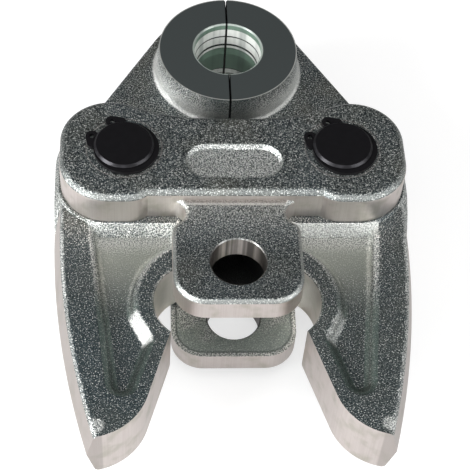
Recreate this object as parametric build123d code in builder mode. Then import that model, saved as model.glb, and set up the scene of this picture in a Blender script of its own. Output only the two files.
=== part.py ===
from build123d import *
from math import acos, asin, atan2, cos, degrees, radians, sin, sqrt, tan
import os

# A jaw for a hand-held machine that presses pipe fittings. Two forged jaw halves
# turn on two pivot pins between two forged link plates. The origin is the centre
# of the machine's pin bore, +Y points to the press bore, and the jaw lies flat.

# Machine end: two ears, one on each link plate, for the machine's retaining pin
pin_bore_radius = 7.1
pin_bore_chamfer = 0.3
ear_thickness = 7.0
ear_half_width = 16.7
ear_reach = 12.5
ear_corner = 8.5
ear_edge_round = 1.4
neck_notch_radius = 3.9
neck_notch_x = 17.1
neck_notch_overlap = 0.2
neck_shoulder_round = 3.5

# Link plates: a raised bar with a square end round each pivot
pivot_x = 29.2
pivot_y = 35.0
link_rise = 2.95
link_end_reach = 17.1
link_end_corner = 13.4
link_front_dip = 5.6
link_front_flat = 6.0
link_rear_rise = 1.9
link_shoulder_inset = 9.0
link_shoulder_radius = 8.0
link_edge_round = 2.0
recess_length = 26.0
recess_width = 11.6
recess_depth = 1.1
recess_wall_angle = 42
recess_setback = 4.3

# Pivot pins and the retaining rings in their grooves
pin_radius = 8.0
pin_plate_clearance = 0.03
pin_jaw_clearance = 0.06
pin_chamfer = 0.6
pin_land = 0.8
groove_depth = 0.4
groove_clearance = 0.05
ring_thickness = 1.0
ring_float = 0.02
ring_outer_radius = 8.7
ring_eccentricity = 0.85
ring_gap_angle = 135
ring_gap_half_angle = 11
ring_lug_half_angle = 24
ring_lug_centre = 9.1
ring_lug_radius = 1.75
ring_lug_hole = 0.8
ring_root_half_angle = 40
ring_root_centre = 8.5
ring_root_radius = 1.3

# Press bore and the round boss that carries it
press_y = 73.6
boss_half = 17.0
boss_radius = 19.6
boss_draft_angle = 7
boss_foot_round = 1.6
flange_radius = 25.6
split_gap = 0.2
split_vee_depth = 0.9
split_vee_half_angle = 30
bore_mouth_radius = 9.9
bore_entry_radius = 9.55
bore_mouth_chamfer = 0.35
bore_rib_radius = 8.8
bore_land_radius = 8.6
bore_groove_radius = 9.4
bore_entry_depth = 2.8
bore_rib_taper = 5.8
bore_groove_width = 0.7
bore_land_taper = 1.7
bore_land_bottom = -2.1

# Jaw halves: hub, arm, roller ramp and the relief behind the ramp's cusp.
# The forged outer wall is widest at the mid-plane and leans in towards both faces.
arm_half = 8.45
forging_draft_angle = 13.3
hub_side_reach = 18.7
hub_corner_radius = 15.0
hub_corner_rise = 3.4
arm_bend_y = 22.0
arm_side_radius = 238.0
arm_tip_y = -45.9
arm_edge_round = 1.4
hub_rise = 0.7
hub_side_clearance = 0.1
hub_reach = 17.6
hub_draft_angle = 27
hub_inner_corner = 6.0
hub_edge_round = 0.5
relief_x = 9.6
relief_y = -6.6
relief_radius = 11.9
cusp_angle = -50
relief_end_round = 3.0
relief_edge_round = 0.7
ramp_angle = 17.5
ramp_length = 20.0
opening_angle = 12
flank_margin_angle = 0.6
flank_top_drop = 2.5
crotch_y = 17.0
crotch_round = 4.0

# Forging pockets in both faces of each arm. The shares are of the arm's width on its face,
# beside the relief and beside the pocket's round end.
pocket_depth = 3.0
pocket_wall_angle = 30
pocket_rim_share = 0.34
pocket_shift_share = 0.128
pocket_ramp_rim = 3.9
pocket_outer_rim = 8.6
pocket_end_share = 0.18
pocket_end_place_share = 0.416
pocket_end_y = -30.4
pocket_upper_angle = 66
pocket_lower_angle = -9.5
pocket_toe_drop = 3.5
pocket_toe_round = 3.2
pocket_heel_round = 6.0
pocket_root_round = 3.0
pocket_lip_round = 2.2
pocket_floor_round = 2.2

# Closing spring, in a blind hole in each jaw half
spring_y = 25.0
spring_wire = 1.4
spring_outer_radius = 3.6
spring_hole_clearance = 0.3
spring_hole_depth = 14.0
spring_seat_gap = 0.02
spring_pitch = 6.0

# Heights that follow from the sizes above
hub_half = arm_half + hub_rise
plate_inner = hub_half + hub_side_clearance
ear_face = plate_inner + ear_thickness
link_face = ear_face + link_rise
split_x = split_gap / 2
groove_top = link_face + ring_thickness + 2 * groove_clearance
pin_half = groove_top + pin_land
groove_radius = pin_radius - groove_depth

# The jaw half's straight side and the plate's shoulder stand off the pivot
jaw_half_width = pivot_x + hub_side_reach

# Corners of the link plate's outline, right half
end_side = pivot_x + link_end_reach
end_corner_x = end_side - link_end_corner
front_corner_y = pivot_y + link_end_reach - link_end_corner
rear_corner_y = pivot_y - link_end_reach + link_end_corner
link_rear = pivot_y - link_end_reach
waist_front = pivot_y + link_end_reach - link_front_dip
waist_rear = link_rear + link_rear_rise

# The front edge dips between the ends in one arc that is tangent to the waist and to the end
blend_run = end_corner_x - link_front_flat
blend_drop = waist_front - front_corner_y
blend_radius = (blend_run**2 + blend_drop**2 - link_end_corner**2) / (2 * (link_end_corner - blend_drop))
blend_centre = (link_front_flat, waist_front + blend_radius)
blend_angle = degrees(atan2(front_corner_y - blend_centre[1], blend_run))
shoulder_centre = (pivot_x - link_shoulder_inset + link_shoulder_radius, link_rear + link_shoulder_radius)
shoulder_turn = 90 - degrees(asin((link_shoulder_radius - link_rear_rise) / link_shoulder_radius))

# Link plates

with BuildSketch(Plane.XY.offset(plate_inner)) as link_outline:
    with BuildLine() as link_edge:
        Line((0, waist_front), (link_front_flat, waist_front))
        CenterArc(blend_centre, blend_radius, -90, blend_angle + 90)
        CenterArc((end_corner_x, front_corner_y), link_end_corner, blend_angle + 180, -(blend_angle + 180))
        Line((end_side, front_corner_y), (end_side, rear_corner_y))
        CenterArc((end_corner_x, rear_corner_y), link_end_corner, 0, -90)
        Line((end_corner_x, link_rear), (shoulder_centre[0], link_rear))
        shoulder = CenterArc(shoulder_centre, link_shoulder_radius, -90, -shoulder_turn)
        Line(shoulder @ 1, (0, waist_rear))
        mirror(about=Plane.YZ)
    make_face()

notch_y = waist_rear + neck_notch_overlap - neck_notch_radius

with BuildSketch(Plane.XY.offset(plate_inner)) as ear_outline:
    with Locations((0, (pivot_y - ear_reach) / 2)):
        Rectangle(2 * ear_half_width, pivot_y + ear_reach)
    fillet(ear_outline.vertices().group_by(Axis.Y)[0], radius=ear_corner)
    with Locations((neck_notch_x, notch_y), (-neck_notch_x, notch_y)):
        Circle(neck_notch_radius, mode=Mode.SUBTRACT)
    shoulders = ear_outline.vertices().filter_by_position(Axis.Y, 0, notch_y)
    shoulders = shoulders.group_by(Axis.Y)[-1]
    fillet(shoulders, radius=neck_shoulder_round)

with BuildPart() as ear:
    extrude(ear_outline.sketch, amount=ear_thickness)
    fillet(ear.faces().sort_by(Axis.Z)[-1].outer_wire().edges(), radius=ear_edge_round)

with BuildPart() as upper_plate:
    extrude(link_outline.sketch, amount=ear_thickness + link_rise)
    fillet(upper_plate.faces().sort_by(Axis.Z)[-1].outer_wire().edges(), radius=link_edge_round)
    add(ear.part)
    with BuildSketch(Plane.XY.offset(link_face)) as recess:
        with Locations((0, pivot_y - recess_setback)):
            SlotOverall(recess_length, recess_width)
    extrude(recess.sketch, amount=-recess_depth, taper=recess_wall_angle, mode=Mode.SUBTRACT)
    with BuildSketch(Plane.XY.offset(plate_inner)) as holes:
        with Locations((pivot_x, pivot_y), (-pivot_x, pivot_y)):
            Circle(pin_radius + pin_plate_clearance)
        Circle(pin_bore_radius)
    extrude(holes.sketch, amount=ear_thickness + link_rise, mode=Mode.SUBTRACT)
    bore_rims = upper_plate.edges().filter_by(GeomType.CIRCLE)
    bore_rims = bore_rims.filter_by(lambda rim: abs(rim.radius - pin_bore_radius) < pin_bore_chamfer / 2)
    bore_rims = bore_rims.filter_by(lambda rim: rim.arc_center.Y < ear_reach)
    chamfer(bore_rims, length=pin_bore_chamfer)
upper_plate.part.label = "upper_plate"

with BuildPart() as lower_plate:
    mirror(upper_plate.part, about=Plane.XY)
lower_plate.part.label = "lower_plate"

# Outline of the right jaw half

hub_corner = (jaw_half_width - hub_corner_radius, pivot_y + hub_corner_rise)
corner_to_press = sqrt(hub_corner[0] ** 2 + (press_y - hub_corner[1]) ** 2)
lean = atan2(press_y - hub_corner[1], hub_corner[0]) + asin((flange_radius - hub_corner_radius) / corner_to_press)
front_edge_angle = 90 - degrees(lean)
front_edge_normal = (cos(radians(front_edge_angle)), sin(radians(front_edge_angle)))
flange_tangent = (flange_radius * front_edge_normal[0], press_y + flange_radius * front_edge_normal[1])
hub_tangent = (
    hub_corner[0] + hub_corner_radius * front_edge_normal[0],
    hub_corner[1] + hub_corner_radius * front_edge_normal[1],
)
side_centre = (jaw_half_width - arm_side_radius, arm_bend_y)
side_turn = degrees(asin((arm_bend_y - arm_tip_y) / arm_side_radius))
arm_tip = (side_centre[0] + arm_side_radius * cos(radians(side_turn)), arm_tip_y)
far_tip = (split_x, press_y + sqrt(flange_radius**2 - split_x**2))
flange_start = degrees(atan2(far_tip[1] - press_y, split_x))

cusp = (relief_x + relief_radius * cos(radians(cusp_angle)), relief_y + relief_radius * sin(radians(cusp_angle)))
ramp_direction = (sin(radians(ramp_angle)), -cos(radians(ramp_angle)))
ramp_end = (cusp[0] + ramp_length * ramp_direction[0], cusp[1] + ramp_length * ramp_direction[1])
relief_top = (relief_x, relief_y + relief_radius)
flank_top = (split_x, pivot_y - flank_top_drop)
crotch = (split_x + (flank_top[1] - crotch_y) * tan(radians(opening_angle + flank_margin_angle)), crotch_y)

with BuildSketch() as jaw_outline:
    with BuildLine() as jaw_edge:
        CenterArc((0, press_y), flange_radius, flange_start, front_edge_angle - flange_start)
        Line(flange_tangent, hub_tangent)
        CenterArc(hub_corner, hub_corner_radius, front_edge_angle, -front_edge_angle)
        Line((jaw_half_width, hub_corner[1]), (jaw_half_width, arm_bend_y))
        CenterArc(side_centre, arm_side_radius, 0, -side_turn)
        TangentArc(ramp_end, arm_tip, tangent=ramp_direction)
        Line(cusp, ramp_end)
        CenterArc((relief_x, relief_y), relief_radius, cusp_angle, 90 - cusp_angle)
        Line(relief_top, crotch)
        Line(crotch, flank_top)
        Line(flank_top, far_tip)
    make_face()
    fillet(jaw_outline.vertices().sort_by_distance((*relief_top, 0))[0], radius=relief_end_round)
    fillet(jaw_outline.vertices().sort_by_distance((*crotch, 0))[0], radius=crotch_round)

# The forging blank has the same outer edge and runs past the split, the ramp and the tip,
# so that only its outer wall is drafted

blank_overrun = arm_half

with BuildSketch() as blank_outline:
    with BuildLine() as blank_edge:
        blank_start = degrees(asin(blank_overrun / flange_radius))
        CenterArc((0, press_y), flange_radius, 90 + blank_start, front_edge_angle - 90 - blank_start)
        Line(flange_tangent, hub_tangent)
        CenterArc(hub_corner, hub_corner_radius, front_edge_angle, -front_edge_angle)
        Line((jaw_half_width, hub_corner[1]), (jaw_half_width, arm_bend_y))
        blank_turn = degrees(asin((arm_bend_y - arm_tip_y + blank_overrun) / arm_side_radius))
        blank_side = CenterArc(side_centre, arm_side_radius, 0, -blank_turn)
        Polyline(
            blank_side @ 1,
            (-blank_overrun, arm_tip_y - blank_overrun),
            (-blank_overrun, press_y + flange_radius * cos(radians(blank_start))),
        )
    make_face()

# The pocket follows the relief and the ramp, and ends in a round toe



def side_on_face(y):
    return side_centre[0] + sqrt(arm_side_radius**2 - (arm_bend_y - y) ** 2) - arm_half * tan(radians(forging_draft_angle))


def tangent_turn(point, centre, radius, side):
    run = (point[0] - centre[0], point[1] - centre[1])
    return atan2(run[1], run[0]) + side * acos(radius / sqrt(run[0] ** 2 + run[1] ** 2))


heel_room = side_on_face(relief_y) - relief_x - relief_radius
rim_radius = relief_radius + pocket_rim_share * heel_room
rim_centre_x = relief_x - pocket_shift_share * heel_room
upper_point = (
    rim_centre_x + rim_radius * cos(radians(pocket_upper_angle)),
    relief_y + rim_radius * sin(radians(pocket_upper_angle)),
)
toe = (
    cusp[0] + pocket_toe_drop * ramp_direction[0] - pocket_ramp_rim * ramp_direction[1],
    cusp[1] + pocket_toe_drop * ramp_direction[1] + pocket_ramp_rim * ramp_direction[0],
)
ramp_at_end = cusp[0] + (cusp[1] - pocket_end_y) * tan(radians(ramp_angle))
end_room = side_on_face(pocket_end_y) - ramp_at_end
end_radius = pocket_end_share * end_room
end_centre = (ramp_at_end + pocket_end_place_share * end_room, pocket_end_y)
pocket_top_y = pivot_y - hub_reach / 2
outer_top = (jaw_half_width - pocket_outer_rim, pocket_top_y)
end_turns = (tangent_turn(toe, end_centre, end_radius, 1), tangent_turn(outer_top, end_centre, end_radius, -1))
end_points = [(end_centre[0] + end_radius * cos(turn), end_centre[1] + end_radius * sin(turn)) for turn in end_turns]

with BuildSketch(Plane.XY.offset(arm_half)) as pocket_outline:
    with BuildLine() as pocket_edge:
        rim_arc = CenterArc(
            (rim_centre_x, relief_y),
            rim_radius,
            pocket_upper_angle,
            pocket_lower_angle - pocket_upper_angle,
        )
        Line(rim_arc @ 1, toe)
        Line(toe, end_points[0])
        ThreePointArc(end_points[0], (end_centre[0], end_centre[1] - end_radius), end_points[1])
        Polyline(end_points[1], outer_top, (upper_point[0], pocket_top_y), upper_point)
    make_face()
    toe_corner = pocket_outline.vertices().sort_by_distance((*toe, arm_half))[0]
    fillet(toe_corner, radius=pocket_toe_round)
    heel = rim_arc @ 1
    heel_corner = pocket_outline.vertices().sort_by_distance(heel)[0]
    fillet(heel_corner, radius=pocket_heel_round)
    root_corners = pocket_outline.vertices().sort_by(Axis.Y)[-2:]
    root_corners.append(pocket_outline.vertices().sort_by_distance((*upper_point, arm_half))[0])
    fillet(root_corners, radius=pocket_root_round)

with BuildPart() as pockets:
    extrude(pocket_outline.sketch, amount=-pocket_depth, taper=pocket_wall_angle)
    fillet(pockets.faces().sort_by(Axis.Z)[0].edges(), radius=pocket_floor_round)
    mirror(about=Plane.XY)

# Hub pad: as wide as the link's end, so the flank shows just outside the plates

with BuildPart() as hub_pad:
    with BuildSketch(Plane(origin=(pivot_x, pivot_y, hub_half))) as pad_face:
        Rectangle(2 * hub_reach, 2 * hub_reach)
        fillet(pad_face.vertices().group_by(Axis.X)[-1], radius=link_end_corner)
        fillet(pad_face.vertices().group_by(Axis.X)[0], radius=hub_inner_corner)
    extrude(pad_face.sketch, amount=-hub_half, taper=-hub_draft_angle)
    fillet(hub_pad.faces().sort_by(Axis.Z)[-1].edges(), radius=hub_edge_round)
    mirror(about=Plane.XY)
    extrude(jaw_outline.sketch, amount=hub_half, both=True, mode=Mode.INTERSECT)

# Boss: a drafted ring round the press bore, cut off at the split

boss_foot_radius = boss_radius + (boss_half - arm_half) * tan(radians(boss_draft_angle))

with BuildPart() as boss:
    with BuildSketch(Plane(origin=(0, press_y, boss_half))) as boss_face:
        Circle(boss_radius)
    extrude(boss_face.sketch, amount=arm_half - boss_half, taper=-boss_draft_angle)
    with BuildSketch(Plane(origin=(0, press_y, arm_half))) as foot_face:
        Circle(boss_foot_radius)
    extrude(foot_face.sketch, amount=-arm_half)
    mirror(about=Plane.XY)
    split(bisect_by=Plane.YZ.offset(split_x), keep=Keep.TOP)

# Contour of the press bore, from the upper mouth down to the lower one

entry_end = boss_half - bore_entry_depth
rib_end = entry_end - bore_rib_taper
land_start = rib_end - bore_groove_width - bore_land_taper
lower_rib_start = bore_land_bottom - bore_groove_width - bore_land_taper

with BuildSketch(Plane(origin=(0, press_y, 0), x_dir=(1, 0, 0), z_dir=(0, -1, 0))) as bore_contour:
    with BuildLine() as bore_edge:
        Polyline(
            (0, boss_half),
            (bore_mouth_radius, boss_half),
            (bore_entry_radius, boss_half - bore_mouth_chamfer),
            (bore_entry_radius, entry_end),
            (bore_rib_radius, rib_end),
            (bore_groove_radius, rib_end - bore_groove_width),
            (bore_land_radius, land_start),
            (bore_land_radius, bore_land_bottom),
            (bore_groove_radius, bore_land_bottom - bore_groove_width),
            (bore_rib_radius, lower_rib_start),
            (bore_entry_radius, -entry_end),
            (bore_entry_radius, bore_mouth_chamfer - boss_half),
            (bore_mouth_radius, -boss_half),
            (0, -boss_half),
            close=True,
        )
    make_face()

# A small vee along the far end of the split, on the boss and on the drafted wall below it

vee_length = flange_radius - boss_radius
flange_face_radius = flange_radius - arm_half * tan(radians(forging_draft_angle))


def vee_outline(height, radius):
    vee_plane = Plane(origin=(0, press_y + radius - split_vee_depth, height))
    with BuildSketch(vee_plane) as vee:
        with BuildLine():
            Polyline(
                (0, 0),
                (vee_length * tan(radians(split_vee_half_angle)), vee_length),
                (0, vee_length),
                close=True,
            )
        make_face()
    return vee.sketch


spring_hole_plane = Plane(origin=(0, spring_y, 0), x_dir=(0, 1, 0), z_dir=(1, 0, 0))
pick_margin = split_gap / 10


def at_height(shapes, height):
    return shapes.filter_by_position(Axis.Z, height - pick_margin, height + pick_margin)


# The forged outer edge lies outside a line from the arm's tip to the press bore
def is_outer(edge):
    middle = edge.center()
    line_x = arm_tip[0] * (press_y - middle.Y) / (press_y - arm_tip[1])
    return middle.X > line_x + split_gap


with BuildPart() as right_jaw:
    extrude(blank_outline.sketch, amount=arm_half, taper=forging_draft_angle)
    mirror(about=Plane.XY)
    extrude(jaw_outline.sketch, amount=arm_half, both=True, mode=Mode.INTERSECT)
    face_edges = at_height(right_jaw.edges(), arm_half) + at_height(right_jaw.edges(), -arm_half)
    relief_edges = face_edges.filter_by(GeomType.CIRCLE)
    relief_edges = relief_edges.filter_by(lambda edge: abs(edge.radius - relief_radius) < split_gap)
    fillet(relief_edges, radius=relief_edge_round)
    face_edges = at_height(right_jaw.edges(), arm_half) + at_height(right_jaw.edges(), -arm_half)
    fillet(face_edges.filter_by(is_outer), radius=arm_edge_round)
    add(boss.part)
    foot_edges = right_jaw.edges().filter_by(GeomType.CIRCLE)
    foot_edges = foot_edges.filter_by(lambda edge: abs(edge.radius - boss_foot_radius) < split_gap)
    fillet(foot_edges, radius=boss_foot_round)
    add(pockets.part, mode=Mode.SUBTRACT)
    for height in (arm_half, -arm_half):
        arm_face = at_height(right_jaw.faces(), height).sort_by(SortBy.AREA)[-1]
        fillet(arm_face.inner_wires()[0].edges(), radius=pocket_lip_round)
    add(hub_pad.part)
    revolve(bore_contour.sketch, axis=Axis((0, press_y, 0), (0, 0, 1)), mode=Mode.SUBTRACT)
    extrude(vee_outline(0, flange_face_radius), amount=arm_half, both=True, mode=Mode.SUBTRACT)
    extrude(vee_outline(arm_half, boss_radius), amount=boss_half - arm_half, mode=Mode.SUBTRACT)
    extrude(vee_outline(-boss_half, boss_radius), amount=boss_half - arm_half, mode=Mode.SUBTRACT)
    with Locations((pivot_x, pivot_y, hub_half)):
        Hole(pin_radius + pin_jaw_clearance)
    with BuildSketch(spring_hole_plane) as spring_hole:
        Circle(spring_outer_radius + spring_hole_clearance)
    extrude(spring_hole.sketch, amount=spring_hole_depth, mode=Mode.SUBTRACT)
right_jaw.part.label = "right_jaw"

with BuildPart() as left_jaw:
    mirror(right_jaw.part, about=Plane.YZ)
left_jaw.part.label = "left_jaw"


# Pivot pins: plain ground pins with a ring groove near each end


def make_pin(side):
    pin_plane = Plane(origin=(side * pivot_x, pivot_y, 0), x_dir=(1, 0, 0), z_dir=(0, -1, 0))
    with BuildPart() as pin:
        with BuildSketch(pin_plane) as half_section:
            with BuildLine():
                Polyline(
                    (0, 0),
                    (pin_radius, 0),
                    (pin_radius, link_face),
                    (groove_radius, link_face),
                    (groove_radius, groove_top),
                    (pin_radius, groove_top),
                    (pin_radius, pin_half - pin_chamfer),
                    (pin_radius - pin_chamfer, pin_half),
                    (0, pin_half),
                    close=True,
                )
            make_face()
        revolve(half_section.sketch, axis=Axis((side * pivot_x, pivot_y, 0), (0, 0, 1)))
        mirror(about=Plane.XY)
    return pin.part


# Retaining rings: an eccentric ring, open at its gap, with a drilled lug each side of the gap.
# Each lug runs back into the ring as the outer outline of two circles.


def on_ring(centre, angle):
    return (centre * cos(radians(angle)), centre * sin(radians(angle)))


def lug_outline(side):
    with BuildSketch() as lug:
        with BuildLine():
            CenterArc(on_ring(ring_lug_centre, ring_gap_angle + side * ring_lug_half_angle), ring_lug_radius, 0, 360)
            CenterArc(on_ring(ring_root_centre, ring_gap_angle + side * ring_root_half_angle), ring_root_radius, 0, 360)
        make_hull()
    return lug.sketch


def make_ring(side):
    ring_plane = Plane(origin=(side * pivot_x, pivot_y, link_face + ring_float))
    lug_holes = [on_ring(ring_lug_centre, ring_gap_angle + turn * ring_lug_half_angle) for turn in (-1, 1)]
    lugs = [lug_outline(turn) for turn in (-1, 1)]
    gap_edges = (ring_gap_angle - ring_gap_half_angle, ring_gap_angle + ring_gap_half_angle)
    with BuildPart() as ring:
        with BuildSketch(ring_plane) as ring_face:
            with Locations(on_ring(-ring_eccentricity, ring_gap_angle)):
                Circle(ring_outer_radius)
            add(lugs)
            Circle(groove_radius, mode=Mode.SUBTRACT)
            with BuildLine():
                Polyline((0, 0), *[on_ring(2 * ring_outer_radius, angle) for angle in gap_edges], close=True)
            make_face(mode=Mode.SUBTRACT)
            with Locations(*lug_holes):
                Circle(ring_lug_hole, mode=Mode.SUBTRACT)
        extrude(ring_face.sketch, amount=ring_thickness)
    return ring.part


# Closing spring: one helix along X, its ends resting on the floors of the two holes

coil_half = spring_hole_depth - spring_seat_gap - spring_wire / 2
coil_radius = spring_outer_radius - spring_wire / 2
coil_start = (-coil_half, spring_y, 0)

with BuildPart() as closing_spring:
    with BuildLine() as coil:
        Helix(
            pitch=spring_pitch,
            height=2 * coil_half,
            radius=coil_radius,
            center=coil_start,
            direction=(1, 0, 0),
        )
    with BuildSketch(Plane(origin=coil.line @ 0, z_dir=coil.line % 0)) as wire:
        Circle(spring_wire / 2)
    sweep(wire.sketch, path=coil.line, is_frenet=True)
closing_spring.part.label = "closing_spring"

pieces = [upper_plate.part, lower_plate.part, left_jaw.part, right_jaw.part, closing_spring.part]
for side_name, side in (("left", -1), ("right", 1)):
    pin = make_pin(side)
    pin.label = side_name + "_pivot_pin"
    upper_ring = make_ring(side)
    upper_ring.label = side_name + "_upper_ring"
    lower_ring = upper_ring.mirror(Plane.XY)
    lower_ring.label = side_name + "_lower_ring"
    pieces += [pin, upper_ring, lower_ring]

os.makedirs("parts", exist_ok=True)
for piece in pieces:
    export_step(piece, "parts/" + piece.label + ".step")
    print(piece.label, "volume", round(piece.volume), "mm3")
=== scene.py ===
# %% [markdown]
# # A press jaw, dressed for its portrait
#
# The object is a jaw for a hand-held machine that presses pipe fittings. Two
# forged halves turn on two pins between two link plates. Every solid piece
# already has its true shape and size, so this script adds what the eye reads
# next: how each surface was made, and the studio that lets it show.

import math

import bmesh
import bpy
from mathutils import Matrix, Vector


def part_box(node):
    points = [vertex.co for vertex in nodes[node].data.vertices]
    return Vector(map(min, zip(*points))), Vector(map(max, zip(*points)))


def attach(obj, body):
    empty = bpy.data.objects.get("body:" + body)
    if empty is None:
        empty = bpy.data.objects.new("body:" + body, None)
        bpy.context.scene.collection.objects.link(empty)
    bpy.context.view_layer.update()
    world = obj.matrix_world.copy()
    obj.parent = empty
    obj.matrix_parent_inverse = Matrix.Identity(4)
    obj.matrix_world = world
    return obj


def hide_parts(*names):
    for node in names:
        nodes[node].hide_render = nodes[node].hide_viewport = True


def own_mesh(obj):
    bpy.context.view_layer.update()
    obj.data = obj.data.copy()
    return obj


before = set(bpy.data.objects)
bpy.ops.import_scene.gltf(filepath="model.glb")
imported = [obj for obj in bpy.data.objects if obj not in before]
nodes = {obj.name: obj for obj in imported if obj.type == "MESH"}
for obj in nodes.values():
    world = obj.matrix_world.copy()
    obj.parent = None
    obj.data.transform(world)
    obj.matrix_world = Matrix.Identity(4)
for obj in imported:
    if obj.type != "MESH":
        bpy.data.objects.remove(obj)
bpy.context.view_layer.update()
MM = 0.001
print("pieces:", ", ".join(sorted(nodes)))

# %% [markdown]
# ## Camera
#
# The photograph looks down on the jaw from the machine end. The camera was
# worked out beforehand from edges with known sizes, so it is given here as
# plain numbers: where it looks, how far away it stands, how high, how far
# round and how much it is rolled. Three unit vectors then make its axes.
# In Blender the camera is an object, which has a place, and its data, which
# has a lens. A small helper makes the object for any such data.


# %% Camera
def add_object(name, data):
    made = bpy.data.objects.new(name, data)
    bpy.context.scene.collection.objects.link(made)
    return made


TARGET = Vector((0.7675, 20.3645, 0.0)) * MM
DISTANCE = 390.365 * MM
AZIMUTH = -0.11357
ELEVATION = 0.930347
ROLL = 0.0909969
LENS = 110.123

outward = Vector((
    math.sin(AZIMUTH) * math.cos(ELEVATION),
    -math.cos(AZIMUTH) * math.cos(ELEVATION),
    math.sin(ELEVATION),
))
level = (-outward).cross(Vector((0, 0, 1))).normalized()
upward = level.cross(-outward)
right = level * math.cos(ROLL) + upward * math.sin(ROLL)
top = upward * math.cos(ROLL) - level * math.sin(ROLL)

camera_data = bpy.data.cameras.new("portrait_camera")
camera_data.sensor_width = 36.0
camera_data.lens = LENS
camera_data.clip_start = 0.01
camera = add_object("portrait_camera", camera_data)
axes = Matrix((right, top, outward)).transposed().to_4x4()
camera.matrix_world = Matrix.Translation(TARGET + outward * DISTANCE) @ axes
bpy.context.scene.camera = camera
bpy.context.scene.view_settings.view_transform = "Standard"
print("camera stands", round(DISTANCE, 3), "m from the jaw")

# %% [markdown]
# ## Helpers for materials
#
# Colours are easiest to pick as hex values, as they are seen on a screen, but
# shaders work with linear light, so one function turns them round. A second
# function adds a node, sets its values and makes its links in one call, which
# keeps each material short enough to read.


# %% Colour and node helpers
def colour(hex_value):
    channels = [int(hex_value[i : i + 2], 16) / 255 for i in (1, 3, 5)]
    linear = [c / 12.92 if c <= 0.04045 else ((c + 0.055) / 1.055) ** 2.4 for c in channels]
    return (*linear, 1.0)


def feed(tree, socket, value):
    """Links a socket to another node, or sets it where the value is plain."""
    if isinstance(value, bpy.types.NodeSocket):
        tree.links.new(value, socket)
    else:
        socket.default_value = value


def node(tree, kind, settings=None, **inputs):
    """Adds a node. An input is named as on the node, with _ for a space, or i0, i1, i2."""
    new = tree.nodes.new("ShaderNode" + kind)
    for name, value in (settings or {}).items():
        setattr(new, name, value)
    for name, value in inputs.items():
        numbered = name[0] == "i" and name[1:].isdigit()
        feed(tree, new.inputs[int(name[1:]) if numbered else name.replace("_", " ")], value)
    return new


def new_material(name):
    material = bpy.data.materials.new(name)
    material.use_nodes = True
    return material, material.node_tree, material.node_tree.nodes["Principled BSDF"]


def dress(material, *names):
    for name in names:
        nodes[name].data.materials.clear()
        nodes[name].data.materials.append(material)


print("zinc grey as linear light:", [round(c, 3) for c in colour("#8a8f8d")[:3]])

# %% [markdown]
# ## Zones of a surface
#
# A forging is one piece of steel with several finishes: blasted skin, trimmed
# flash line, turned face. Where one stops and the next starts follows from
# where a point lies and which way it faces. A zone is a few such rules
# multiplied together: it is 1 where all of them hold, 0 where one fails, and
# soft between, because no real finish ends in a hard line.


# %% Zones
def zone(tree, *rules):
    """How far all the rules hold at a point, from 0 to 1.

    A rule is (reading, from, to), which rises softly from 0 to 1 between two
    readings, the same with other ends, (reading, from, to, start, end), or a
    number or an earlier zone, taken as it is.
    """
    held = None
    for rule in rules:
        if isinstance(rule, tuple):
            reading, low, high, start, end = (*rule, 0.0, 1.0)[:5]
            limits = {"From_Min": low, "From_Max": high, "To_Min": start, "To_Max": end}
            soft = {"interpolation_type": "SMOOTHSTEP"}
            rule = node(tree, "MapRange", soft, Value=reading, **limits).outputs[0]
        if held is None:
            held = rule
        else:
            held = node(tree, "Math", {"operation": "MULTIPLY"}, i0=held, i1=rule).outputs[0]
    return held


def band(reading, low, high, soft):
    """The two rules that hold between two readings."""
    return (reading, low - soft, low + soft), (reading, high - soft, high + soft, 1.0, 0.0)


def outside(tree, held):
    return node(tree, "Math", {"operation": "SUBTRACT"}, i0=1.0, i1=held).outputs[0]


def either(tree, first, *others):
    for other in others:
        first = node(tree, "Math", {"operation": "MAXIMUM"}, i0=first, i1=other).outputs[0]
    return first


print("zones: one from rules, a band, the outside of one, either of several")

# %% [markdown]
# ## Laying one finish over another
#
# A material is kept as a small table of its channels: colour, roughness, bump
# and metallic. Each step of the work lays something new over part of it, as a
# painter does, from the skin that covers everything to the last thin lines.


# %% Laying a finish
def lay(tree, finish, where, **channels):
    """Lays other values over some channels of a finish, where a zone holds."""
    for channel, value in channels.items():
        under = finish[channel]
        if channel == "colour":
            mixed = node(tree, "Mix", {"data_type": "RGBA"}, i0=where, i6=under, i7=value)
            finish[channel] = mixed.outputs[2]
        else:
            finish[channel] = node(tree, "Mix", i0=where, i2=under, i3=value).outputs[0]


print("channels: colour, rough, bump, metallic")

# %% [markdown]
# ## Where a point lies
#
# All patterns read Object coordinates in millimetres, so that a pattern keeps
# its real size and stays on the steel when the jaw moves. Both halves share
# one rule by taking the distance from the mid-planes instead of x and z. The
# heights of the main faces, from the middle of the jaw, are those of the solids.

# %% Places on the steel
POCKET_FLOOR = 5.45
ARM_FACE = 8.45
HUB_FACE = 9.15
PLATE_INSIDE = 9.25
EAR_FACE = 16.25
BOSS_END = 17.0
BAR_FACE = 19.2


def places(tree):
    coords = node(tree, "TexCoord").outputs
    scaled = node(tree, "VectorMath", {"operation": "SCALE"}, i0=coords["Object"], Scale=1 / MM)
    x, y, z = node(tree, "SeparateXYZ", i0=scaled.outputs[0]).outputs
    facing_up = node(tree, "SeparateXYZ", i0=coords["Normal"]).outputs[2]
    at = {"mm": scaled.outputs[0], "across": x, "y": y, "z": z}
    for name, value in (("x", x), ("height", z), ("flat", facing_up)):
        at[name] = node(tree, "Math", {"operation": "ABSOLUTE"}, i0=value).outputs[0]
    at["plan"] = node(tree, "CombineXYZ", X=at["x"], Y=y).outputs[0]
    return at


def distance_from(tree, at, x, y):
    away = node(tree, "VectorMath", {"operation": "DISTANCE"}, i0=at["plan"], i1=(x, y, 0))
    return away.outputs["Value"]


print("patterns are measured in millimetres")

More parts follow.
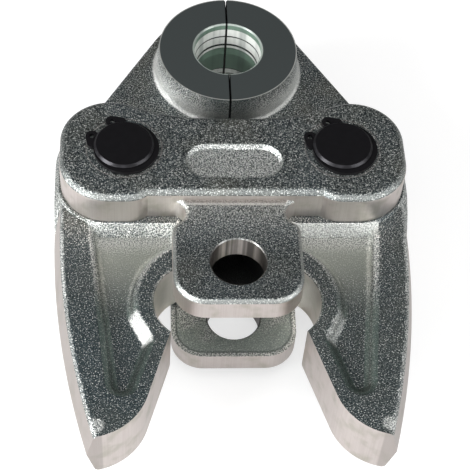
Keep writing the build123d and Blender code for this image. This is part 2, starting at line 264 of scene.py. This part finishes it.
# %% [markdown]
# ## Zinc-plated, shot-blasted forging
#
# The link plates and the jaw halves are hot forged, blasted with steel shot
# and zinc plated. Blasting leaves shallow pits about 0.1 to 0.2 mm wide, too
# fine for this size of picture, where they would melt into a flat grey. They
# are drawn coarser, 0.34 mm wide, and deeper than life, so that each one can
# catch the light. A second, slow noise gives the cloudy tints of the plating.
# Zinc is a metal: metallic is 1, and its colour tints what it reflects.

# %% Blasted skin
PIT_WIDTH = 0.34
PIT_DEPTH = 0.3
TINT_WIDTH = 14.0
SKIN_DEEP = colour("#2b3134")
SKIN_MID = colour("#757b7a")
SKIN_PALE = colour("#a9aeaa")
SKIN_SPARK = colour("#f0f1ee")
SKIN_WARM = colour("#7d7a6c")
SKIN_COOL = colour("#5d6a72")


def blasted_skin(tree, at):
    pits = node(
        tree, "TexNoise", Vector=at["mm"], Scale=1 / PIT_WIDTH, Detail=1.0, Roughness=0.6
    )
    tints = node(tree, "TexNoise", Vector=at["mm"], Scale=1 / TINT_WIDTH, Detail=2.0)
    grain, cloud = pits.outputs[0], tints.outputs[0]
    # The palest pits are painted glints, laid in near white.
    sparks = zone(tree, (grain, 0.62, 0.68))
    skin = {"colour": SKIN_DEEP}
    lay(tree, skin, zone(tree, (grain, 0.36, 0.56)), colour=SKIN_MID)
    lay(tree, skin, zone(tree, (cloud, 0.45, 0.7, 0.0, 0.25)), colour=SKIN_WARM)
    lay(tree, skin, zone(tree, (cloud, 0.5, 0.28, 0.0, 0.25)), colour=SKIN_COOL)
    lay(tree, skin, zone(tree, (grain, 0.54, 0.64)), colour=SKIN_PALE)
    lay(tree, skin, sparks, colour=SKIN_SPARK)
    # The bright tone is a painted highlight: the skin with most of its pits flashing white.
    bright = {"colour": SKIN_MID}
    lay(tree, bright, zone(tree, (grain, 0.4, 0.58)), colour=SKIN_SPARK)
    return {
        "colour": skin["colour"],
        "rough": zone(tree, (grain, 0.35, 0.65, 0.52, 0.4)),
        "bump": grain,
        "metallic": 1.0,
        "bright": bright["colour"],
        "sparks": sparks,
        "cloud": cloud,
    }


print("blasting pits drawn", PIT_WIDTH, "mm wide")

# %% [markdown]
# ## What work, wear and painted highlights do to the skin
#
# The same skin looks different in different places. Where the lamps would fall
# full on it, a painted highlight makes its pits flash almost white. The round of
# an edge is burnished by handling and by the other jaws in the box, and a painted
# highlight lightens it. A deep part of the die is smooth, so the metal that was
# pressed there has shallow pits.

# %% Changes to the skin
BURNISHED_ROUGHNESS = 0.36
WORN_PITS = 0.45
SHALLOW_PITS = 0.4


# Lays the painted highlight tone over a zone.
def paint_highlight(tree, finish, where):
    lay(tree, finish, where, colour=finish["bright"])


def burnish_and_highlight(tree, finish, where, tone):
    """A rounded edge worn by handling: the pits are worn down, the gloss is higher, and a painted
    highlight lightens its colour.
    """
    lay(tree, finish, zone(tree, where, 0.55), colour=tone)
    lay(tree, finish, where, rough=BURNISHED_ROUGHNESS)
    lay(tree, finish, where, bump=zone(tree, finish["bump"], WORN_PITS))


def smooth_over(tree, finish, where, tone):
    """A patch that the die left smooth: another tone, and shallow pits."""
    lay(tree, finish, where, colour=tone, bump=zone(tree, finish["bump"], SHALLOW_PITS))


print("worn pits keep", WORN_PITS, "of their depth")

# %% [markdown]
# ## Trimmed and machined walls
#
# After forging, the flash is sheared off and the roller ramps are ground, so
# the upright walls are smooth and much lighter than the blasted skin, with
# fine streaks that run up and down the wall. Noise stretched along Z draws
# them: fine across the wall, long in its height. Wide, faint stains break the
# even tone, as where the flash tore instead of shearing.

# %% Trimmed wall
STREAK_WIDTH = 0.35
STREAKS_PER_MM_UP = 0.06
STAIN_WIDTH = 5.0
WALL_ROUGHNESS = 0.4
WALL_STAIN = colour("#a3a291")
WALL_LIGHT = colour("#d3cbc7")
WALL_DARK = colour("#cec5c1")


def trimmed_wall(tree, at, finish, where):
    rate = (1 / STREAK_WIDTH, 1 / STREAK_WIDTH, STREAKS_PER_MM_UP)
    stretched = node(tree, "VectorMath", {"operation": "MULTIPLY"}, i0=at["mm"], i1=rate)
    streaks = node(tree, "TexNoise", Vector=stretched.outputs[0], Scale=1.0, Detail=2.0)
    stains = node(tree, "TexNoise", Vector=at["mm"], Scale=1 / STAIN_WIDTH, Detail=3.0)
    wall = {"colour": WALL_DARK}
    lay(tree, wall, zone(tree, (streaks.outputs[0], 0.35, 0.65)), colour=WALL_LIGHT)
    lay(tree, wall, zone(tree, (stains.outputs[0], 0.45, 0.7, 0.0, 0.45)), colour=WALL_STAIN)
    lay(tree, finish, where, colour=wall["colour"], rough=WALL_ROUGHNESS)
    lay(tree, finish, where, bump=zone(tree, streaks.outputs[0], 0.1))


print("trim streaks", STREAK_WIDTH, "mm wide")

# %% [markdown]
# ## One forging, several finishes
#
# A forging material starts as blasted skin. The way the surface faces tells
# the rounded edges and the nearly upright walls from the rest. Then each
# finish in the list is laid over it in turn, and the result goes to the
# shader, with the pits as a bump.


# %% Forging material
def forging(name, *finishes):
    material, tree, shader = new_material(name)
    at = places(tree)
    finish = blasted_skin(tree, at)
    finish["upright"] = zone(tree, (at["flat"], 0.34, 0.28))
    finish["edge"] = zone(tree, *band(at["flat"], 0.38, 0.93, 0.05))
    for lay_finish in finishes:
        lay_finish(tree, at, finish)
    pits = node(tree, "Bump", Height=finish["bump"], Strength=1.0, Distance=PIT_DEPTH * MM)
    feed(tree, shader.inputs["Base Color"], finish["colour"])
    feed(tree, shader.inputs["Roughness"], finish["rough"])
    feed(tree, shader.inputs["Metallic"], finish["metallic"])
    feed(tree, shader.inputs["Normal"], pits.outputs[0])
    return material


print("bump of the pits:", PIT_DEPTH, "mm")

# %% [markdown]
# ## Link plates: the bar
#
# The bar joins the two pins. Its rounded edges are burnished, with a painted
# highlight that is strongest along the front edge, and the sloped recess in its
# middle carries a painted highlight.

# %% Bar and recess
PIVOT = (29.2, 35.0)
RECESS_Y = 30.7
RECESS_HALF_LENGTH, RECESS_HALF_WIDTH = 13.4, 6.0
EDGE_WORN_HIGHLIGHT = colour("#bfc2bf")


def bar(tree, at, finish):
    # Painted highlight on the rounded edges, strongest at the front, over real wear.
    lit_and_worn = zone(tree, finish["edge"], (at["y"], 23.0, 12.0, 0.4, 1.0))
    burnish_and_highlight(tree, finish, lit_and_worn, EDGE_WORN_HIGHLIGHT)
    recess = zone(
        tree,
        (at["x"], RECESS_HALF_LENGTH, RECESS_HALF_LENGTH - 0.5),
        *band(at["y"], RECESS_Y - RECESS_HALF_WIDTH, RECESS_Y + RECESS_HALF_WIDTH, 0.2),
        *band(at["height"], 17.5, BAR_FACE - 0.2, 0.15),
    )
    # Painted highlight over the recess.
    paint_highlight(tree, finish, zone(tree, recess, 0.75))


print("recess", 2 * RECESS_HALF_LENGTH, "by", 2 * RECESS_HALF_WIDTH, "mm")

# %% [markdown]
# ## Link plates: inside the ears
#
# The machine's roller carriage slides in between the two ears and rubs their
# inner faces to a pale satin, and a painted highlight lightens them in cloudy
# patches. Deeper in, painted shade darkens them. A painted shadow line and a
# painted highlight rim run along the ear's outline. The distance from the
# centre line of the ear's corner round is the same all along that outline, so it
# places both.

# %% Ear, inside
EAR_HALF_WIDTH, EAR_REACH, EAR_CORNER = 16.7, 12.5, 8.5
SATIN = colour("#c3cdc6")
PAINTED_SHADE = colour("#3c3d3d")


def from_ear_corner(tree, at):
    shift = (EAR_CORNER - EAR_HALF_WIDTH, EAR_CORNER - EAR_REACH, 0)
    beyond = node(
        tree, "VectorMath", {"operation": "MULTIPLY_ADD"}, i0=at["plan"], i1=(1, -1, 0), i2=shift
    )
    kept = node(tree, "VectorMath", {"operation": "MAXIMUM"}, i0=beyond.outputs[0], i1=(0, 0, 0))
    length = node(tree, "VectorMath", {"operation": "LENGTH"}, i0=kept.outputs[0])
    return length.outputs["Value"]


def ear_inside(tree, at, finish):
    height, y = at["height"], at["y"]
    at_inner_face = (height, PLATE_INSIDE + 0.45, PLATE_INSIDE + 0.15)
    inside = zone(tree, at_inner_face, (at["flat"], 0.85, 0.95))
    smooth_over(tree, finish, zone(tree, inside, (y, 10.0, 6.0), 0.55), SATIN)
    # Painted highlight in cloudy patches.
    paint_highlight(tree, finish, zone(tree, inside, (finish["cloud"], 0.48, 0.62), 0.9))
    # Painted shade deeper in, between the plates.
    lay(tree, finish, zone(tree, inside, (y, 7.0, 11.0)), colour=PAINTED_SHADE)
    outline = from_ear_corner(tree, at)
    # Painted shadow line along the outline, and a painted highlight rim just outside it.
    painted_shadow_line = zone(tree, inside, *band(outline, 6.9, 7.4, 0.2), 0.5)
    lay(tree, finish, painted_shadow_line, colour=SKIN_DEEP)
    paint_highlight(tree, finish, zone(tree, inside, (outline, 7.3, 7.6)))


print("ear", 2 * EAR_HALF_WIDTH, "mm wide")

# %% [markdown]
# ## Link plates: outside the ears
#
# The ear's outer face is a little darker towards its front. At the foot of the
# bar the real plate has a tiny hollow round, too small to model: here it is a
# burnished line with a painted highlight, with a grey one above it. The sides of
# the neck carry a painted highlight.

# %% Ear, outside
FOOT_Y = 19.8
FOOT_HALF_LENGTH = 14.4
FOOT_GREY = colour("#8d8984")


def ear_outside(tree, at, finish):
    y, height = at["y"], at["height"]
    near_face = band(height, EAR_FACE - 1.25, EAR_FACE + 1.25, 0.2)
    face = zone(tree, *near_face, (at["flat"], 0.9, 0.98))
    lay(tree, finish, zone(tree, face, (y, 12.0, 2.0, 0.0, 0.3)), colour=SKIN_DEEP)
    foot = zone(
        tree,
        face,
        (at["x"], FOOT_HALF_LENGTH, FOOT_HALF_LENGTH - 1.0),
        (y, FOOT_Y - 1.9, FOOT_Y - 1.6),
    )
    # Painted highlight line standing in for the round at the foot of the bar.
    burnish_and_highlight(tree, finish, foot, SKIN_SPARK)
    lay(tree, finish, zone(tree, foot, 0.8), colour=SKIN_SPARK)
    lay(tree, finish, zone(tree, foot, (y, FOOT_Y - 1.2, FOOT_Y - 0.8)), colour=FOOT_GREY)
    neck = zone(tree, (y, 4.0, 16.0), *band(height, 14.5, 16.6, 0.2))
    # Painted highlight on the sides of the neck.
    paint_highlight(tree, finish, zone(tree, neck, 0.3))


print("foot line at y", FOOT_Y, "mm")

# %% [markdown]
# ## Link plates: walls and holes
#
# The trimmed wall runs round the outline. The bore for the machine's pin is
# reamed: a painted reflection of the room lies on its wall in dark upright bands,
# drawn by noise that changes only across the jaw, and painted shade darkens its
# two sides. Each pivot hole is spot-faced, which leaves a thin light circle just
# outside its ring.

# %% Plate walls and holes
PIN_BORE_MOUTH = 7.3
SPOT_FACE = 9.9
HOLE_SHADE = colour("#4b4846")


def upright_bands(tree, at, width):
    across = node(tree, "CombineXYZ", X=at["across"]).outputs[0]
    return node(tree, "TexNoise", Vector=across, Scale=1 / width).outputs[0]


def plate_walls(tree, at, finish):
    trimmed_wall(tree, at, finish, finish["upright"])
    bands = zone(tree, (upright_bands(tree, at, 2.2), 0.38, 0.58))
    shade = either(tree, bands, zone(tree, (at["x"], 3.6, 6.4)))
    in_hole = (distance_from(tree, at, 0.0, 0.0), PIN_BORE_MOUTH + 0.3, PIN_BORE_MOUTH)
    # Painted reflection bands and painted shade at the sides of the pin bore.
    lay(tree, finish, zone(tree, in_hole, shade, 0.85), colour=HOLE_SHADE)
    circle = band(distance_from(tree, at, *PIVOT), SPOT_FACE, SPOT_FACE + 0.3, 0.12)
    on_bar = (at["height"], BAR_FACE - 0.2, BAR_FACE - 0.05)
    lay(tree, finish, zone(tree, *circle, on_bar, 0.35), colour=WALL_LIGHT)


link_steel = forging("blasted_zinc_forging_link", bar, ear_inside, ear_outside, plate_walls)
dress(link_steel, "upper_plate", "lower_plate")
print("link plates:", link_steel.name)

# %% [markdown]
# ## Jaw halves: their regions
#
# Several finishes of a jaw half share the same few regions, so these are named
# once: the drafted wall of the boss, its turned end face, the press bore, and
# the outer side, which follows one large circle all along the arm.

# %% Regions of a jaw half
PRESS_Y = 73.6
BOSS_FOOT_RADIUS = 23.0
BORE_MOUTH = 10.1
SIDE_CENTRE = (-190.1, 22.0)
SIDE_RADIUS = 238.0


def regions(tree, at, finish):
    height = at["height"]
    from_press = distance_from(tree, at, 0.0, PRESS_Y)
    from_side = distance_from(tree, at, *SIDE_CENTRE)
    boss = (from_press, BOSS_FOOT_RADIUS, BOSS_FOOT_RADIUS - 0.5)
    finish["from_press"] = from_press
    finish["boss_wall"] = zone(tree, boss, (height, ARM_FACE + 0.05, ARM_FACE + 0.35))
    finish["off_boss"] = outside(tree, finish["boss_wall"])
    finish["boss_face"] = zone(
        tree, (height, BOSS_END - 0.15, BOSS_END - 0.05), (at["flat"], 0.8, 0.95)
    )
    finish["in_bore"] = zone(tree, (from_press, BORE_MOUTH, BORE_MOUTH - 0.12))
    finish["side"] = zone(tree, (from_side, SIDE_RADIUS - 4.2, SIDE_RADIUS - 3.6))


print("press bore at y", PRESS_Y, "mm")

# %% [markdown]
# ## Jaw halves: arms
#
# The arms' flat faces are laid in the darkest skin tone, more strongly on the
# left half than on the right. Their outer edge and the very tip carry a painted
# highlight.

# %% Arms
TIP = (35.6, -42.6)
ARM_DEEP = colour("#39464a")


def left_to_right(at, left, right):
    """A rule with one value on the left half and another on the right half."""
    return (at["across"], -5.0, 5.0, left, right)


def arms(tree, at, finish):
    faces = zone(tree, (at["flat"], 0.7, 0.9), (at["y"], 22.0, 6.0), left_to_right(at, 0.62, 0.47))
    between_sparks = outside(tree, zone(tree, finish["sparks"], 0.8))
    lay(tree, finish, zone(tree, faces, between_sparks), colour=ARM_DEEP)
    below_boss = (at["y"], 55.0, 50.0)
    # Painted highlight along the outer edge and on the tip.
    paint_highlight(tree, finish, zone(tree, finish["edge"], finish["side"], below_boss, 0.4))
    paint_highlight(tree, finish, zone(tree, (distance_from(tree, at, *TIP), 2.4, 1.4), below_boss))


print("arm tip at", TIP, "mm")

# %% [markdown]
# ## Jaw halves: hub flank
#
# The hub's front flank slopes down to the arm from under the link plates. It
# faces the lamps, and a painted highlight brightens it, most near its two
# corners and its top, with painted white glints on the right half.

# %% Hub flank
HUB_MIDDLE_X = 28.5


def hub_flank(tree, at, finish):
    flank = zone(
        tree, finish["edge"], (at["y"], 13.6, 16.6), (at["y"], 18.6, 18.0), (at["x"], 45.0, 43.0)
    )
    offset = node(tree, "Math", {"operation": "SUBTRACT"}, i0=at["x"], i1=HUB_MIDDLE_X).outputs[0]
    sideways = node(tree, "Math", {"operation": "ABSOLUTE"}, i0=offset).outputs[0]
    near_corners = (sideways, 2.0, 9.0, 0.7, 1.0)
    near_top = (at["height"], 5.0, ARM_FACE + 0.05, 0.6, 1.0)
    # Painted highlight and painted glints on the flank.
    paint_highlight(tree, finish, zone(tree, flank, near_corners, near_top))
    lay(tree, finish, zone(tree, flank, left_to_right(at, 0.0, 0.4)), colour=SKIN_SPARK)


print("hub flank about x", HUB_MIDDLE_X, "mm")

# %% [markdown]
# ## Jaw halves: pocket
#
# The forging pocket saves weight between the two rims of the arm. Its walls
# lie between its floor and the arm's face, so height and slope find them. A
# painted highlight lies on the upper walls, the lower ones carry a greenish line
# of passivation, and a painted highlight makes one facet beside the relief flash
# white, more on the left half. Near the hub the floor is satin, with a painted
# highlight at its top end.

# %% Pocket
FACET = (24.2, -14.0)
POCKET_LINE = colour("#6d7d76")
POCKET_SATIN = colour("#b4b9b0")


def pocket(tree, at, finish):
    y, height, flat = at["y"], at["height"], at["flat"]
    above_floor = POCKET_FLOOR + 0.15
    from_facet = distance_from(tree, at, *FACET)

    wall_heights = band(height, above_floor, ARM_FACE + 0.3, 0.1)
    upper = zone(tree, *band(flat, 0.5, 0.97, 0.04), *wall_heights, (y, -16.0, 10.0))
    # Painted highlight on the upper walls.
    paint_highlight(tree, finish, zone(tree, upper, (y, 15.5, 14.0), 0.75))

    wall_heights = band(height, above_floor, ARM_FACE + 0.15, 0.1)
    lower = zone(tree, *band(flat, 0.5, 0.985, 0.01), *wall_heights, (y, 0.0, -12.0))
    off_side = outside(tree, finish["side"])
    lower = zone(tree, lower, (from_facet, 4.0, 6.0), off_side, 0.6)
    smooth_over(tree, finish, lower, POCKET_LINE)

    facet = zone(
        tree,
        finish["edge"],
        (from_facet, 5.8, 4.2),
        left_to_right(at, 1.0, 0.35),
        (y, -9.0, -14.5, 0.6, 1.0),
    )
    # Painted highlight on the facet.
    paint_highlight(tree, finish, facet)
    lay(tree, finish, zone(tree, facet, 0.5), colour=SKIN_SPARK)

    floor_zone = zone(tree, (height, 7.6, 6.6), (flat, 0.45, 0.6))
    smooth_over(tree, finish, zone(tree, floor_zone, (y, -12.0, 9.0), 0.7), POCKET_SATIN)
    # Painted highlight at the top of the floor.
    paint_highlight(tree, finish, zone(tree, floor_zone, (y, 9.0, 14.0, 0.0, 0.6)))


print("pocket", round(ARM_FACE - POCKET_FLOOR, 2), "mm deep")

# %% [markdown]
# ## Jaw halves: wall of the boss
#
# The boss stands up round the press bore, with a drafted wall. A painted
# highlight brightens it towards its foot, with painted white glints there, and
# it is a darker teal next to the split, where the two halves meet.

# %% Boss wall
BOSS_TEAL = colour("#43504f")


def boss_wall(tree, at, finish):
    wall, height = finish["boss_wall"], at["height"]
    # Painted highlight towards the foot of the boss wall.
    paint_highlight(tree, finish, zone(tree, wall, (height, 16.8, 12.5, 0.35, 1.0)))
    lay(tree, finish, zone(tree, wall, (height, 14.5, 10.5, 0.0, 0.7)), colour=SKIN_SPARK)
    lay(tree, finish, zone(tree, wall, (at["x"], 11.0, 3.0), 0.65), colour=BOSS_TEAL)


print("boss stands", round(BOSS_END - ARM_FACE, 2), "mm above the arm")

# %% [markdown]
# ## Jaw halves: trimmed walls
#
# The outer sides are trimmed and a little darker than the ground faces. The
# round relief, which gives the ears room between the halves, carries a painted
# highlight, strongest towards the arm tips and on the left. Behind the ears,
# painted shade darkens the halves.

# %% Jaw walls
WALL_OUTER = colour("#a8a19d")
RELIEF_HIGHLIGHT = colour("#fafaf0")


def jaw_walls(tree, at, finish):
    x, y, upright = at["x"], at["y"], finish["upright"]
    trimmed_wall(tree, at, finish, zone(tree, upright, finish["off_boss"]))
    relief = zone(tree, upright, (y, -15.0, -12.0), (y, 16.0, 12.0), (x, 30.0, 27.0))
    relief = zone(tree, relief, (y, 4.0, -8.0, 0.4, 1.0), left_to_right(at, 1.0, 0.4))
    # Painted highlight on the relief wall.
    lay(tree, finish, relief, colour=RELIEF_HIGHLIGHT)
    outer = zone(tree, upright, finish["off_boss"], finish["side"], 0.6)
    lay(tree, finish, outer, colour=WALL_OUTER)
    under_plate = (at["height"], HUB_FACE - 0.25, HUB_FACE - 0.55)
    behind = zone(tree, (x, 9.5, 8.0), *band(y, 0.0, 26.0, 0.5), under_plate)
    # Painted shade behind the ears.
    lay(tree, finish, behind, colour=PAINTED_SHADE)


print("outer side has a radius of", SIDE_RADIUS, "mm")

# %% [markdown]
# ## Jaw halves: rings of the press bore
#
# Inside the bore, the press contour alternates between polished ribs and dark
# green plated walls, in rings at known heights. A colour ramp along Z, with
# hard steps, holds one colour for each ring.

# %% Rings of the press bore
BORE_GREEN = colour("#768d7f")
BORE_BRIGHT = colour("#eceeea")
BORE_RIM = colour("#9aa39d")
BORE_DARK = colour("#2a2f2e")

# Heights in millimetres, from the lower mouth up, and the colour from there on
RINGS = (
    (-BOSS_END, BORE_BRIGHT),
    (-16.6, BORE_GREEN),
    (-14.9, BORE_BRIGHT),
    (-2.8, BORE_DARK),
    (-2.1, BORE_BRIGHT),
    (-0.35, BORE_DARK),
    (-0.1, BORE_GREEN),
    (7.6, BORE_BRIGHT),
    (9.1, BORE_DARK),
    (9.7, BORE_BRIGHT),
    (12.2, BORE_DARK),
    (12.5, BORE_BRIGHT),
    (14.9, BORE_GREEN),
    (16.6, BORE_RIM),
)


def ringed(tree, at):
    up = node(tree, "MapRange", Value=at["z"], From_Min=-BOSS_END, From_Max=BOSS_END).outputs[0]
    rings = node(tree, "ValToRGB", Fac=up)
    ramp = rings.color_ramp
    ramp.interpolation = "CONSTANT"
    ramp.elements.remove(ramp.elements[-1])
    ramp.elements[0].color = RINGS[0][1]
    for height, tone in RINGS[1:]:
        ramp.elements.new((height + BOSS_END) / (2 * BOSS_END)).color = tone
    return {"colour": rings.outputs[0]}


print("the press bore has", len(RINGS), "rings")

# %% [markdown]
# ## Jaw halves: turned face and press bore
#
# The boss has a turned face, which the plating leaves matt and almost black,
# with a painted highlight line along its edge. In the bore the passivated
# plating is less of a mirror than bare steel, so metallic goes down and the
# colours show, and dark upright bands of painted reflection lie over its rings.
# The split between the two halves is a thin dark line of shadow and old oil.

# %% Turned face and press bore
FACE_RADIUS = 19.4
FACE_ROUGHNESS = 0.5
BORE_ROUGHNESS, BORE_METALLIC = 0.3, 0.3
SEAM_HALF_WIDTH = 0.3
BOSS_FACE = colour("#697070")
BORE_SHADE = colour("#5f6b68")
SEAM_DARK = colour("#101112")


def boss_and_bore(tree, at, finish):
    face, in_bore = finish["boss_face"], finish["in_bore"]
    turned = zone(tree, face, (finish["from_press"], FACE_RADIUS, FACE_RADIUS - 0.15))
    # Painted highlight line round the edge of the turned face.
    lay(tree, finish, face, colour=BORE_BRIGHT)
    lay(tree, finish, turned, colour=BOSS_FACE, rough=FACE_ROUGHNESS)
    machined = either(tree, face, in_bore)
    finish["bump"] = zone(tree, finish["bump"], outside(tree, machined))

    rings = ringed(tree, at)
    bands = upright_bands(tree, at, 3.0)
    # Painted reflection: dark upright bands over the rings.
    lay(tree, rings, zone(tree, (bands, 0.45, 0.65, 0.0, 0.45)), colour=BORE_SHADE)
    lay(tree, finish, in_bore, colour=rings["colour"], rough=BORE_ROUGHNESS)
    lay(tree, finish, in_bore, metallic=BORE_METALLIC)

    split = either(tree, face, finish["boss_wall"], in_bore)
    at_seam = (at["x"], SEAM_HALF_WIDTH + 0.08, SEAM_HALF_WIDTH - 0.08)
    lay(tree, finish, zone(tree, split, at_seam), colour=SEAM_DARK)


jaw_steel = forging(
    "blasted_zinc_forging_jaw",
    regions,
    arms,
    hub_flank,
    pocket,
    boss_wall,
    jaw_walls,
    boss_and_bore,
)
dress(jaw_steel, "left_jaw", "right_jaw")
print("jaw halves:", jaw_steel.name)

# %% [markdown]
# ## Pins and rings
#
# The pins are hardened and ground, then blackened in hot oxide. The film is
# only a micron thick, so the metal's gloss stays and the colour goes to almost
# black, and it is worn paler along its sharp top edges, a pale line that is
# partly wear and partly painted highlight. The retaining rings are stamped from
# spring strip and blackened the same way.

# %% Black oxide
OXIDE = colour("#1b1a1d")
OXIDE_WORN_HIGHLIGHT = colour("#47474b")
OXIDE_METALLIC = 0.7
FILM_PATCH = 1.5
PIN_EDGE, RING_EDGE = 20.4, 20.2


def black_oxide(name, edge_height, roughness):
    material, tree, shader = new_material(name)
    at = places(tree)
    film = node(tree, "TexNoise", Vector=at["mm"], Scale=1 / FILM_PATCH, Detail=3.0).outputs[0]
    edges = zone(
        tree, *band(at["flat"], 0.4, 0.9, 0.1), (at["height"], edge_height - 0.1, edge_height)
    )
    oxide = {"colour": OXIDE}
    # Paler top edges: partly wear, partly painted highlight.
    lay(tree, oxide, zone(tree, edges, (film, 0.4, 0.65, 0.1, 0.4)), colour=OXIDE_WORN_HIGHLIGHT)
    uneven = zone(tree, (film, 0.3, 0.7, roughness - 0.06, roughness + 0.06))
    feed(tree, shader.inputs["Base Color"], oxide["colour"])
    feed(tree, shader.inputs["Roughness"], uneven)
    feed(tree, shader.inputs["Metallic"], OXIDE_METALLIC)
    return material


pin_steel = black_oxide("black_oxide_ground_pin", PIN_EDGE, 0.36)
ring_steel = black_oxide("black_oxide_spring_strip", RING_EDGE, 0.4)
for side in ("left", "right"):
    dress(pin_steel, side + "_pivot_pin")
    dress(ring_steel, side + "_upper_ring", side + "_lower_ring")
print("pins and rings:", pin_steel.name, ring_steel.name)

# %% [markdown]
# ## Closing spring
#
# Spring wire is drawn through dies, which leaves it smooth, grey and slightly
# oily. Only its middle shows, in the gap between the halves as they open.

# %% Spring wire
WIRE_PATCH = 0.8
WIRE_ROUGHNESS = 0.28
WIRE_DARK, WIRE_LIGHT = colour("#6d6f70"), colour("#8f9192")

wire_steel, wire_tree, wire_shader = new_material("oiled_drawn_spring_wire")
wire_mm = places(wire_tree)["mm"]
oil = node(wire_tree, "TexNoise", Vector=wire_mm, Scale=1 / WIRE_PATCH, Detail=2.0).outputs[0]
wire = {"colour": WIRE_DARK}
lay(wire_tree, wire, oil, colour=WIRE_LIGHT)
feed(wire_tree, wire_shader.inputs["Base Color"], wire["colour"])
feed(wire_tree, wire_shader.inputs["Metallic"], 1.0)
feed(wire_tree, wire_shader.inputs["Roughness"], WIRE_ROUGHNESS)
print("spring:", wire_steel.name)

# %% [markdown]
# ## The spring between two moving seats
#
# Each end of the spring sits in a blind hole of one jaw half, and the two
# holes swing towards each other as the jaw opens. One stiff mesh would cut
# through both halves, so the spring is parted in the middle with bisect_plane,
# and each part rides on the half that holds it.

# %% Spring halves
MERGE_WITHIN = 0.001 * MM


def spring_half(side, sign):
    shape = bmesh.new()
    shape.from_mesh(nodes["closing_spring"].data)
    bmesh.ops.remove_doubles(shape, verts=shape.verts, dist=MERGE_WITHIN)
    everything = shape.verts[:] + shape.edges[:] + shape.faces[:]
    cut = bmesh.ops.bisect_plane(
        shape, geom=everything, plane_co=(0, 0, 0), plane_no=(sign, 0, 0), clear_inner=True
    )
    rim = [item for item in cut["geom_cut"] if isinstance(item, bmesh.types.BMEdge)]
    bmesh.ops.holes_fill(shape, edges=rim)
    for face in shape.faces:
        face.smooth = True
    data = bpy.data.meshes.new(side + "_spring_coils")
    shape.to_mesh(data)
    shape.free()
    data.materials.append(wire_steel)
    half = add_object(side + "_spring_coils", data)
    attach(half, side + "_half")
    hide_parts("closing_spring")
    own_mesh(half)
    print(half.name, "has", len(data.polygons), "faces")


spring_half("left", -1)
spring_half("right", 1)

# %% [markdown]
# ## Floor
#
# The jaw lies on the lower ends of its pins, on a plain white table. The table
# glows for the rays that reach the camera straight or in a reflection, so that
# it shows as white, in the picture and in the metal, and it is plain matt for
# the light that falls on it, so that it keeps a soft shadow.

# %% Floor
FLOOR_SIZE = 2.0
FLOOR_WHITE = colour("#b4b4b4")
GLOW_SEEN = 0.32
GLOW_CAMERA = 0.3

rest_height = min(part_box(name)[0].z for name in nodes)
floor_mesh = bmesh.new()
bmesh.ops.create_grid(floor_mesh, x_segments=1, y_segments=1, size=FLOOR_SIZE)
bmesh.ops.translate(floor_mesh, verts=floor_mesh.verts, vec=(0, 0, rest_height))
floor_data = bpy.data.meshes.new("studio_floor")
floor_mesh.to_mesh(floor_data)
floor_mesh.free()
floor = add_object("studio_floor", floor_data)

floor_white, floor_tree, floor_shader = new_material("matt_white_table")
feed(floor_tree, floor_shader.inputs["Base Color"], FLOOR_WHITE)
feed(floor_tree, floor_shader.inputs["Roughness"], 0.9)
rays = node(floor_tree, "LightPath").outputs
to_camera = rays["Is Camera Ray"]
seen = either(floor_tree, to_camera, rays["Is Glossy Ray"], rays["Is Transmission Ray"])
glow = zone(floor_tree, seen, GLOW_SEEN)
sum_up = {"operation": "MULTIPLY_ADD"}
strength = node(floor_tree, "Math", sum_up, i0=to_camera, i1=GLOW_CAMERA, i2=glow).outputs[0]
light = node(floor_tree, "Emission", Strength=strength).outputs[0]
both = node(floor_tree, "AddShader", i0=light, i1=floor_shader.outputs[0]).outputs[0]
feed(floor_tree, floor_tree.nodes["Material Output"].inputs["Surface"], both)
floor_data.materials.append(floor_white)
print("floor at", round(rest_height / MM, 2), "mm")

# %% [markdown]
# ## Sky
#
# The studio's near side, behind the camera, is bright, and its far side is
# dim. The flat tops of the jaw mirror the far side, and the walls that face
# the camera mirror the near side and the table, which is what tells them
# apart. Rays that go straight from the camera to the sky find it white.

# %% Sky
SKY_BRIGHT, SKY_DIM = 1.0, 0.18

world = bpy.data.worlds.new("studio_sky")
world.use_nodes = True
bpy.context.scene.world = world
sky_tree = world.node_tree
background = sky_tree.nodes["Background"]
direction = node(sky_tree, "TexCoord").outputs["Generated"]
far_away = node(sky_tree, "SeparateXYZ", i0=direction).outputs[1]
sky_tone = zone(sky_tree, (far_away, -0.5, 0.5, SKY_BRIGHT, SKY_DIM))
sky_seen = node(sky_tree, "LightPath").outputs["Is Camera Ray"]
feed(sky_tree, background.inputs["Strength"], either(sky_tree, sky_tone, sky_seen))
feed(sky_tree, background.inputs["Color"], (1, 1, 1, 1))
print("sky from", SKY_BRIGHT, "to", SKY_DIM)

# %% [markdown]
# ## Lamps
#
# A large soft lamp from the left front gives the bright line along every
# rounded edge. A weaker one from the right front opens the shadows inside the
# relief and the press bore, and a faint one from above evens the flat tops.

# %% Lamps
LAMPS = (
    # Name, place and size in millimetres, watts
    ("left_front_softbox", (-520, -240, 260), 320, 6.0),
    ("right_fill", (520, -260, 300), 300, 1.5),
    ("overhead_softbox", (0, -160, 640), 260, 0.5),
)

for name, at_mm, size_mm, watts in LAMPS:
    lamp_data = bpy.data.lights.new(name, "AREA")
    lamp_data.size = size_mm * MM
    lamp_data.energy = watts
    place = Vector(at_mm) * MM
    aim = (TARGET - place).to_track_quat("-Z", "Y").to_matrix().to_4x4()
    add_object(name, lamp_data).matrix_world = Matrix.Translation(place) @ aim
    print("lamp:", name, watts, "W")

# %% [markdown]
# ## Finish
#

# %% Finish
print("scene finished")
